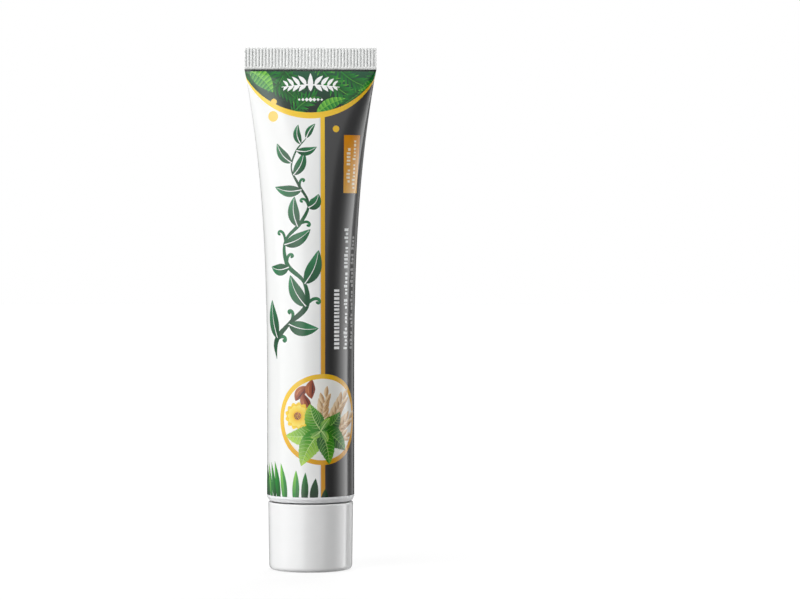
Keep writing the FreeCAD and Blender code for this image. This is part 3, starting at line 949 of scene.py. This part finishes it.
def toothed_half(base, tip, width, bend, side):
    """Half of a leaf with small teeth along its edge."""
    points = 4 * LEAF_TEETH + 1
    notches = 1 - TOOTH_DEPTH * (np.arange(points) % 4) / 4
    return half_leaf_outline(base, tip, width, bend, side, points, LEAF_BELLY, notches)


def paint_veined_leaf(base, tip, width, bend, low, high):
    """A toothed leaf in two shades, with side veins and a darker line beside each of them."""
    paint_halves("leaf_green", base, tip, low, high,
                 lambda side: toothed_half(base, tip, width, bend, side))
    line = leaf_line(base, tip, bend, VEIN_POINTS)
    run = np.gradient(line, axis=0)
    run /= np.linalg.norm(run, axis=1)[:, None]
    widths = leaf_widths(width, VEIN_POINTS, LEAF_BELLY)
    for i in range(5, VEIN_POINTS - 4, 4):
        for side in (1, -1):
            across = side * np.array((-run[i][1], run[i][0]))
            end = line[i] + across * widths[i] * 0.42 + run[i] * widths[i] * 0.3
            middle = (line[i] + end) / 2 - run[i] * widths[i] * 0.05
            vein = curve_through([line[i], middle, end], 6)
            shadow = vein[:-2] - run[i] * 0.2
            paint("leaf_green", band_outline(shadow, np.linspace(0.42, 0.04, len(shadow))),
                  max(low + high * 0.4 - 0.2, 0.0))
            paint("leaf_vein", band_outline(vein, np.linspace(0.22, 0.06, len(vein))), high * 0.6)
    midrib = line[:-2]
    paint("leaf_vein", band_outline(midrib, np.linspace(0.46, 0.14, len(midrib))), high * 0.8)


def paint_flower(centre, radius):
    """Two rings of petals round a dark heart with yellow dots."""
    for ring, (count, size, low) in enumerate(((13, 1.0, 0.1), (11, 0.78, 0.35))):
        for k in range(count):
            angle = 360 / count * (k + 0.4 * ring)
            base = polar(centre, angle, radius * 0.2)
            tip = polar(centre, angle, radius * size)
            line = leaf_line(base, tip, 0.1)
            paint("petal_yellow", band_outline(line, leaf_widths(radius * 0.44, belly=1.5)),
                  along(base, tip, low, low + 0.55))
    paint("petal_yellow", disc_outline(centre, radius * 0.36, 28), 0.3)
    paint("seed_brown", disc_outline(centre, radius * 0.26, 28), along(
        polar(centre, 225, radius * 0.26), polar(centre, 45, radius * 0.26), 0.15, 0.75))
    for k in range(14):
        spot = polar(centre, k * GOLDEN_ANGLE, radius * 0.06 * math.sqrt(k))
        paint("petal_yellow", disc_outline(spot, radius * 0.03, 8), 0.4)


def kernel_ends(centre, angle, length, start_inset=0.0, end_inset=0.0):
    """The two ends of a kernel, or two points inside them, by shares of its length."""
    start, end = polar(centre, angle + 180, length / 2), polar(centre, angle, length / 2)
    return polar(start, angle, length * start_inset), polar(end, angle + 180, length * end_inset)


def paint_kernel(ink, centre, angle, length, width, bulge, points, belly, low, high):
    """A kernel that is darker on one side, with its length bent by a share of its width."""
    side = polar((0, 0), angle + 90, width / 2)
    line = leaf_line(*kernel_ends(centre, angle, length), width * bulge, points)
    paint(ink, band_outline(line, leaf_widths(width, points, belly)),
          along(np.subtract(centre, side), np.add(centre, side), low, high))


def paint_bean(centre, angle, length, width):
    """A brown bean with a dark crease and a highlight along its back."""
    paint_kernel("seed_brown", centre, angle, length, width, 0.18, 15, 1.0, 0.15, 0.8)
    crease = leaf_line(*kernel_ends(centre, angle, length, 0.12, 0.12), -width * 0.05)
    paint("seed_brown", band_outline(crease, leaf_widths(width * 0.12)), 0.0)
    lift = np.multiply(polar((0, 0), angle + 90, width / 2), 0.52)
    shine = leaf_line(*kernel_ends(centre, angle, length, 0.25, 0.3), width * 0.12) + lift
    paint("seed_brown", band_outline(shine, leaf_widths(width * 0.1)), 1.0)


def paint_grain(centre, angle, length, width):
    """A pale grain with a dark underside and a groove."""
    paint_kernel("grain_beige", centre, angle, length, width, 0.1, 11, 0.95, 0.1, 1.0)
    groove = leaf_line(*kernel_ends(centre, angle, length, 0.1, 0.1), -width * 0.06, 9)
    paint("grain_beige", band_outline(groove, leaf_widths(width * 0.1, 9)), 0.0)


def paint_wheat_ear(root, heading, grains, size):
    """Grains in two rows up a stalk, each leaning outwards."""
    stalk = leaf_line(root, polar(root, heading, grains * size * 0.42), 0.8)
    paint("grain_beige", band_outline(stalk, np.linspace(0.5, 0.2, len(stalk))), 0.25)
    for k in range(grains):
        at = stalk[int((k + 0.5) / grains * (len(stalk) - 1))]
        for side in (1, -1):
            angle = heading + side * 24
            paint_grain(polar(at, heading + side * 62, size * 0.3), angle, size, size * 0.42)
    paint_grain(polar(stalk[-1], heading, size * 0.4), heading, size, size * 0.4)


# Root, heading, number of grains and their size.
WHEAT_EARS = (((2.0, -6.0), 60, 7, 5.4), ((3.0, -8.0), 36, 6, 5.4), ((0.5, -1.0), 84, 5, 4.8),
              ((4.0, -9.0), 14, 4, 4.6))
BEANS = (((-8.4, 10.2), 50), ((-4.2, 12.0), 88), ((-6.2, 7.0), 116))
SPRAY_ROOT = (-0.6, -4.4)
# Tip, width, bend, and the darkest and the lightest tone.
SPRAY_LEAVES = (
    ((8.0, 2.8), 7.4, -1.2, 0.0, 0.25),
    ((-15.2, -6.4), 8.2, 1.3, 0.45, 1.0),
    ((11.0, -12.6), 8.4, 1.0, 0.0, 0.2),
    ((-8.6, -18.4), 8.6, -1.0, 0.4, 1.0),
    ((2.8, -17.8), 7.6, 0.8, 0.05, 0.5),
    ((-5.0, 6.2), 8.0, 0.9, 0.15, 0.75),
    ((3.2, 0.6), 3.2, 0.3, 0.2, 0.9),
    ((-4.8, -7.2), 3.2, 0.3, 0.2, 0.9),
    ((2.2, -8.8), 3.2, 0.3, 0.2, 0.9),
)


def paint_roundel():
    # The ring and the off-white ground are painted lighter at the upper left and darker at the lower
    # right: painted light and shade from the lamp at the left.
    paint("gold", disc_outline(ROUNDEL, ROUNDEL_RADIUS, 120),
          along(roundel_point(-14, 12), roundel_point(14, -12), 0.85, 0.0))
    paint("roundel_white", disc_outline(ROUNDEL, ROUNDEL_RADIUS - RING_WIDTH, 110),
          along(roundel_point(-10, 10), roundel_point(12, -10), 1.0, 0.25))
    for root, heading, grains, size in WHEAT_EARS:
        paint_wheat_ear(roundel_point(*root), heading, grains, size)
    for spot, angle in BEANS:
        paint_bean(roundel_point(*spot), angle, 7.6, 4.0)
    paint_flower(roundel_point(-10.0, 1.4), 5.6)
    for tip, width, bend, low, high in SPRAY_LEAVES:
        paint_veined_leaf(roundel_point(*SPRAY_ROOT), roundel_point(*tip), width, bend, low, high)


paint_roundel()
print("shapes so far:", len(shapes))

# %% [markdown]
# ## Blades at the foot
# Grass-like blades stand round the foot of the white side, some in fans and some alone. They are
# long leaves with a straight base, so they start a little below the edge of the print.

# %% Paint the blades
# Place on the sheet, height, width, lean, and the darkest and the lightest tone.
FRONT_BLADES = (
    (-21.6, 12.4, 4.2, -3.0, 0.0, 0.3), (-18.6, 13.4, 2.6, -3.4, 0.5, 1.0),
    (-16.2, 13.6, 2.6, -3.0, 0.1, 0.8), (-13.8, 14.0, 2.9, -2.8, 0.2, 0.85),
    (-10.6, 13.4, 3.0, -2.4, 0.5, 1.0), (-6.1, 10.8, 3.0, 0.2, 0.45, 1.0),
    (-2.5, 10.0, 2.9, 0.4, 0.05, 0.5), (1.0, 7.6, 3.4, 1.0, 0.0, 0.12), (5.3, 3.4, 2.8, 0.7, 0.0, 0.1),
)
SIDE_BLADES_FROM = -22.5


def paint_blade(u, height, width, lean, low, high):
    """A blade whose right half is darker than its left one."""
    base, tip = (u, SLEEVE_FOOT - 4.0), (u + lean, SLEEVE_FOOT + height)
    for side, darkest, lightest in ((1, low, high), (-1, low * 0.5, high * 0.72)):
        paint_round("palm_green", half_leaf_outline(base, tip, width, lean * 0.12, side, belly=0.9),
                    along((u, SLEEVE_FOOT), tip, darkest, lightest))


def paint_blade_row():
    """The listed blades of the front, then blades of random size on round the side."""
    for blade in FRONT_BLADES:
        paint_blade(*blade)
    rng = random.Random(21)
    u = SIDE_BLADES_FROM
    while u > 3 - EDGE:
        paint_blade(u, rng.uniform(6.5, 12.5), rng.uniform(1.8, 3.0), rng.uniform(-1.8, 1.8), 0.05,
                    rng.uniform(0.4, 0.9))
        u -= rng.uniform(1.6, 3.6)


paint_blade_row()
print("shapes in the print:", len(shapes))

# %% [markdown]
# ## From drawing to mesh
# All outlines go into one constrained triangulation, which cuts the flat sheet along every edge.
# The middle of each triangle is then looked up in the stack of shapes, and the last one painted
# wins. A grid of loose points goes in as well, so that the triangles stay small enough to bend
# round the tube. The ink is then true geometry: its edges stay sharp, and no picture is needed.

# %% Triangulate the print
GRID_ACROSS = 1.15
GRID_UP = 1.6


def grid_points():
    across = np.linspace(-EDGE, EDGE, int(GIRTH / GRID_ACROSS) + 1)[1:-1]
    up = np.linspace(SLEEVE_FOOT, FIN_FOOT, int((FIN_FOOT - SLEEVE_FOOT) / GRID_UP) + 1)[1:-1]
    crowded = FIN_FOOT - np.array([0.25, 0.6, 1.0])
    return [(u, z) for z in np.concatenate([up, crowded]) for u in across]


def edge_points():
    """Points on the rim of the sheet, as many on each side, so that the seam's two edges match."""
    across = np.linspace(-EDGE, EDGE, int(GIRTH / GRID_ACROSS) + 1)
    up = np.linspace(SLEEVE_FOOT, FIN_FOOT, int((FIN_FOOT - SLEEVE_FOOT) / GRID_UP) + 1)
    level = [(u, z) for z in (SLEEVE_FOOT, FIN_FOOT) for u in across]
    upright = [(u, z) for u in (-EDGE, EDGE) for z in up]
    return level + upright


def inside(outline, spots):
    """Which of the spots lie inside an outline, by counting the edges that a level line crosses."""
    result = np.zeros(len(spots), bool)
    for (u1, z1), (u2, z2) in zip(outline, outline[1:] + outline[:1]):
        if z1 != z2:
            crossed = (z1 > spots[:, 1]) != (z2 > spots[:, 1])
            result ^= crossed & (spots[:, 0] < (u2 - u1) * (spots[:, 1] - z1) / (z2 - z1) + u1)
    return result


def topmost_shapes(spots):
    """For each spot the number of the last shape painted over it, or -1 off the sheet."""
    top = np.full(len(spots), -1)
    for number, (_, outline, _) in enumerate(shapes):
        corners = np.array(outline)
        low, high = corners.min(axis=0), corners.max(axis=0)
        near = np.flatnonzero(((spots >= low) & (spots <= high)).all(axis=1))
        top[near[inside(outline, spots[near])]] = number
    sheet = (np.abs(spots[:, 0]) < EDGE) & (spots[:, 1] > SLEEVE_FOOT) & (spots[:, 1] < FIN_FOOT)
    return np.where(sheet, top, -1)


def cut_print():
    """Returns the flat corners, the triangles, and for each triangle the shape that shows there."""
    points, loops = [], []
    for _, outline, _ in shapes:
        loops.append(list(range(len(points), len(points) + len(outline))))
        points += outline
    points += grid_points() + edge_points()
    corners, _, faces, _, _, _ = delaunay_2d_cdt([Vector(p) for p in points], [], loops, 0, 1e-4, False)
    corners = np.array([(c.x, c.y) for c in corners])
    faces = np.array([face for face in faces if len(face) == 3])
    top = topmost_shapes(corners[faces].mean(axis=1))
    faces, top = faces[top >= 0], top[top >= 0]
    used, compact = np.unique(faces, return_inverse=True)
    return corners[used], compact.reshape(-1, 3), top


flat, triangles, top_shape = cut_print()
print("flat corners:", len(flat), "triangles:", len(triangles))

# %% [markdown]
# ## The skin of the tube
# The flat triangles are rolled onto the tube, turned so that they face outwards, and given their
# ink and tone. The directions used for shading come from the curves themselves and not from the
# triangles, so the gloss runs smoothly across the edges of the ink. A narrow dip marks the seam.

# %% Build the skin's arrays
INK_ORDER = list(INKS)
SEAM_DIP = 0.07
SEAM_DIP_REACH = 0.6


def facing_out(corners, faces):
    """Turns over the triangles whose corners run the wrong way in the flat print."""
    a, b, c = (corners[faces[:, i]] for i in range(3))
    area = (b[:, 0] - a[:, 0]) * (c[:, 1] - a[:, 1]) - (b[:, 1] - a[:, 1]) * (c[:, 0] - a[:, 0])
    turned = np.where(area[:, None] < 0, faces[:, ::-1], faces)
    return turned, np.abs(area) > TINY


triangles, real = facing_out(flat, triangles)
triangles, top_shape = triangles[real], top_shape[real]
places, outward = rolled(flat[:, 0], np.clip(flat[:, 1], SLEEVE_FOOT, FIN_FOOT - 0.02))
places[:, 2] = flat[:, 1]
near_seam = np.clip(1 - (EDGE - np.abs(flat[:, 0])) / SEAM_DIP_REACH, 0, 1)
places -= outward * (SEAM_DIP * near_seam)[:, None]
ink_index = np.array([INK_ORDER.index(shapes[s][0]) for s in top_shape])


def corner_tones():
    """The tone of each triangle's three corners, by the rule of the shape that shows there."""
    tones = np.full((len(triangles), 3), 0.5)
    for s in np.unique(top_shape):
        rule, rows = shapes[s][2], np.flatnonzero(top_shape == s)
        if callable(rule):
            corners = flat[triangles[rows]]
            tones[rows] = rule(corners[..., 0], corners[..., 1])
        else:
            tones[rows] = rule
    return tones


tones = corner_tones()
print("skin triangles:", len(triangles), "inks in use:", len(set(ink_index)))

# %% [markdown]
# ## The crimped fin
# Hot jaws press the end of the tube flat and leave upright ribs in it. The fin is a thin plate
# with grooves down both faces, deep enough that their sides stay in shade. Below them is a plain
# strip. The columns of the mesh follow the grooves, so each groove has its own edges. The pressed
# film in the grooves is dull, and painted greyer as shade; all of the fin has painted shade that
# deepens towards its two ends.

# %% Build the fin's arrays
RIB_PITCH = 1.31
GROOVE_WIDTH = 0.62
GROOVE_DEPTH = 0.28
GROOVE_PROFILE = ((-0.5, 0.0), (-0.42, 0.12), (-0.14, 0.9), (0.0, 1.0), (0.14, 0.9), (0.42, 0.12),
                  (0.5, 0.0))
SMOOTH_RIM = 0.4
PLAIN_STRIP = 1.0
EDGE_ROUND = 0.1


def groove_centres():
    gaps = int((2 * FIN_HALF_WIDTH - SMOOTH_RIM - GROOVE_WIDTH) / RIB_PITCH)
    return (np.arange(gaps + 1) - gaps / 2) * RIB_PITCH


def fin_columns():
    """Places across the fin, with the groove's share of its depth and how far the side is rounded."""
    columns = [(-FIN_HALF_WIDTH, 0.0, 1.0), (-FIN_HALF_WIDTH + EDGE_ROUND, 0.0, 0.0)]
    for centre in groove_centres():
        columns += [(centre + share * GROOVE_WIDTH, depth, 0.0) for share, depth in GROOVE_PROFILE]
    return columns + [(FIN_HALF_WIDTH - EDGE_ROUND, 0.0, 0.0), (FIN_HALF_WIDTH, 0.0, 1.0)]


def fin_rows():
    """Heights on the fin, with how fully the grooves are pressed and how far the edge is rounded."""
    strip = FIN_FOOT + PLAIN_STRIP
    return [(FIN_FOOT, 0.0, 0.0), (strip, 0.0, 0.0), (strip + 0.12, 0.55, 0.0), (strip + 0.3, 1.0, 0.0),
            (FIN_TOP - 4.0, 1.0, 0.0), (FIN_TOP - 0.85, 1.0, 0.0), (FIN_TOP - 0.45, 0.15, 0.0),
            (FIN_TOP - EDGE_ROUND, 0.1, 0.0), (FIN_TOP, 0.1, 1.0)]


def fin_arrays():
    """The fin as one closed plate: a loop of corners round each column, joined to the next loop.

    Also lists the faces that lie in a groove."""
    columns, rows = fin_columns(), fin_rows()
    loops = []
    for x, groove, side_round in columns:
        half = [FIN_THICKNESS / 2 - GROOVE_DEPTH * groove * pressed
                - EDGE_ROUND * max(top_round, side_round) for _, pressed, top_round in rows]
        front = [(x, -y, z) for y, (z, _, _) in zip(half, rows)]
        back = [(x, y, z) for y, (z, _, _) in zip(half, rows)]
        loops.append(front + back[::-1])
    size = len(loops[0])
    faces = []
    for i in range(len(loops) - 1):
        for j in range(size):
            a, b = i * size + j, i * size + (j + 1) % size
            faces.append((a, a + size, b + size, b))
    faces.append(tuple(range(size)))
    faces.append(tuple(range((len(loops) - 1) * size, len(loops) * size))[::-1])
    pressed_in = [i * size + j for i in range(len(loops) - 1) for j in range(size)
                  if columns[i][1] * columns[i + 1][1] > 0 and min(j, size - 2 - j) in range(2, 5)]
    return [p for loop in loops for p in loop], faces, pressed_in


fin_points, fin_faces, groove_faces = fin_arrays()
print("grooves on each face:", len(groove_centres()), "fin faces:", len(fin_faces))

# %% [markdown]
# ## Joining skin and fin
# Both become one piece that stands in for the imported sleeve. The lower edge of the film is turned
# in by the thickness of the wall, so that the cut edge of the sheet shows above the shoulder.

# %% Make the printed sleeve
MAP_GAP = 2.0
LIP_POINTS = 120
LIP_HEIGHT = 2.4


def foot_lip():
    """The cut lower edge of the film and a short stretch of its inner face."""
    turns = np.linspace(0, 2 * math.pi, LIP_POINTS + 1)[:-1]
    inner = TUBE_RADIUS - WALL
    rings = ((TUBE_RADIUS, SLEEVE_FOOT), (inner, SLEEVE_FOOT), (inner, SLEEVE_FOOT + LIP_HEIGHT))
    points = [(r * math.sin(a), -r * math.cos(a), z) for r, z in rings for a in turns]
    count = len(turns)
    faces = []
    for ring in range(len(rings) - 1):
        for k in range(count):
            a, b = ring * count + k, ring * count + (k + 1) % count
            faces.append((b, a, a + count, b + count))
    return points, faces


def make_sleeve():
    lip_points, lip_faces = foot_lip()
    fin_start, lip_start = len(places), len(places) + len(fin_points)
    points = [tuple(p) for p in places] + fin_points + lip_points
    faces = [tuple(t) for t in triangles]
    faces += [tuple(v + fin_start for v in face) for face in fin_faces]
    faces += [tuple(v + lip_start for v in face) for face in lip_faces]
    mesh = bpy.data.meshes.new("printed_sleeve")
    mesh.from_pydata([tuple(c * MM for c in p) for p in points], [], faces)
    for name in INK_ORDER:
        mesh.materials.append(INKS[name])
    inks = np.full(len(faces), INK_ORDER.index("fin_film"), np.int32)
    inks[:len(triangles)] = ink_index
    # Groove faces take the grey ink of painted shade.
    inks[len(triangles) + np.array(groove_faces)] = INK_ORDER.index("shaded_groove_film")
    mesh.polygons.foreach_set("material_index", inks)
    flat_faces = range(len(triangles), len(triangles) + len(fin_faces))
    smooth = np.ones(len(faces), bool)
    smooth[flat_faces] = False
    mesh.polygons.foreach_set("use_smooth", smooth)
    add_tones(mesh)
    add_flat_map(mesh)
    mesh.update()
    set_shading(mesh, fin_start)
    piece = bpy.data.objects.new("printed_sleeve", mesh)
    scene.collection.objects.link(piece)
    return piece


def corner_spots(mesh):
    """For each corner of each face, the number of its point and the place of that point."""
    numbers = np.zeros(len(mesh.loops), np.int32)
    mesh.loops.foreach_get("vertex_index", numbers)
    spots = np.zeros(len(mesh.vertices) * 3)
    mesh.vertices.foreach_get("co", spots)
    return numbers, spots.reshape(-1, 3)[numbers] / MM


def add_tones(mesh):
    """The print's own tones, and on the fin a tone that falls towards its two ends, as painted shade."""
    _, spots = corner_spots(mesh)
    values = 1 - np.abs(spots[:, 0]) / FIN_HALF_WIDTH
    values[:triangles.size] = tones.ravel()
    mesh.attributes.new("tone", "FLOAT", "CORNER").data.foreach_set("value", values.astype(np.float32))


def add_flat_map(mesh):
    """A map that lays the print out flat again, with the fin's two faces and the lip above it."""
    numbers, spots = corner_spots(mesh)
    skin = numbers < len(flat)
    front = ~skin & (spots[:, 2] > FIN_FOOT - 1) & (spots[:, 1] < 0)
    back = ~skin & (spots[:, 2] > FIN_FOOT - 1) & ~front
    lip = ~skin & ~front & ~back
    spread = np.empty((len(numbers), 2))
    spread[skin] = flat[numbers[skin]] + (EDGE, -SLEEVE_FOOT)
    spread[front] = spots[front][:, [0, 2]] + (FIN_HALF_WIDTH, MAP_GAP - SLEEVE_FOOT)
    spread[back] = spots[back][:, [0, 2]] + (EDGE + FIN_HALF_WIDTH, MAP_GAP - SLEEVE_FOOT)
    turned = np.arctan2(spots[lip][:, 0], -spots[lip][:, 1]) * TUBE_RADIUS + EDGE
    raised = FIN_TOP - 2 * SLEEVE_FOOT + 2 * MAP_GAP + spots[lip][:, 2]
    spread[lip] = np.stack([turned, raised], 1)
    layer = mesh.uv_layers.new(name="OFBake")
    layer.data.foreach_set("uv", (spread / spread.max()).astype(np.float32).ravel())


def set_shading(mesh, fin_start):
    """Shading directions: by the curves on the skin, and by the mesh on the fin and the lip."""
    by_mesh = np.zeros(len(mesh.vertices) * 3, np.float32)
    mesh.vertices.foreach_get("normal", by_mesh)
    directions = by_mesh.reshape(-1, 3)
    directions[:fin_start] = outward
    mesh.normals_split_custom_set_from_vertices(directions)


sleeve = make_sleeve()
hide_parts("sleeve")
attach(sleeve, "tube")
print("printed sleeve:", len(sleeve.data.polygons), "faces")

# %% [markdown]
# ## The white mouldings
# The cap is polypropylene from a polished mould, so it is smooth, white and about as glossy as the
# film. The shoulder is polyethylene, which is softer and waxier. Both let light a short
# way in, which rounds off their shading. The paste shows only at the nozzle with the cap off.

# %% Finish the cap, the shoulder and the paste
def make_plastic(name, deep, light, roughness, scatter, grain):
    material, nodes, links, shader, patchy = new_finish(name, roughness, 0.01, grain, 700.0)
    blend = nodes.new("ShaderNodeMix")
    blend.data_type = "RGBA"
    blend.inputs["A"].default_value = shade(*deep)
    blend.inputs["B"].default_value = shade(*light)
    links.new(noise(nodes, links, 90.0), blend.inputs["Factor"])
    links.new(times(nodes, links, blend.outputs["Result"], patchy), shader.inputs["Base Color"])
    shader.inputs["Subsurface Weight"].default_value = scatter
    shader.inputs["Subsurface Radius"].default_value = (1.0, 1.0, 1.0)
    shader.inputs["Subsurface Scale"].default_value = 0.0008
    return material


FINISHES = {
    "cap": make_plastic("cap_white", (243, 244, 244), (250, 250, 250), 0.16, 0.1, 0.000003),
    "shoulder": make_plastic("shoulder_white", (246, 248, 250), (252, 253, 254), 0.36, 0.2, 0.000008),
    "paste": make_plastic("mint_paste", (214, 236, 226), (232, 246, 240), 0.3, 0.4, 0.00002),
}
for node, finish in FINISHES.items():
    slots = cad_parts[node].material_slots
    if not slots:
        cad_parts[node].data.materials.append(finish)
    for place in slots:
        place.material = finish
    print(node, "is finished in", finish.name)
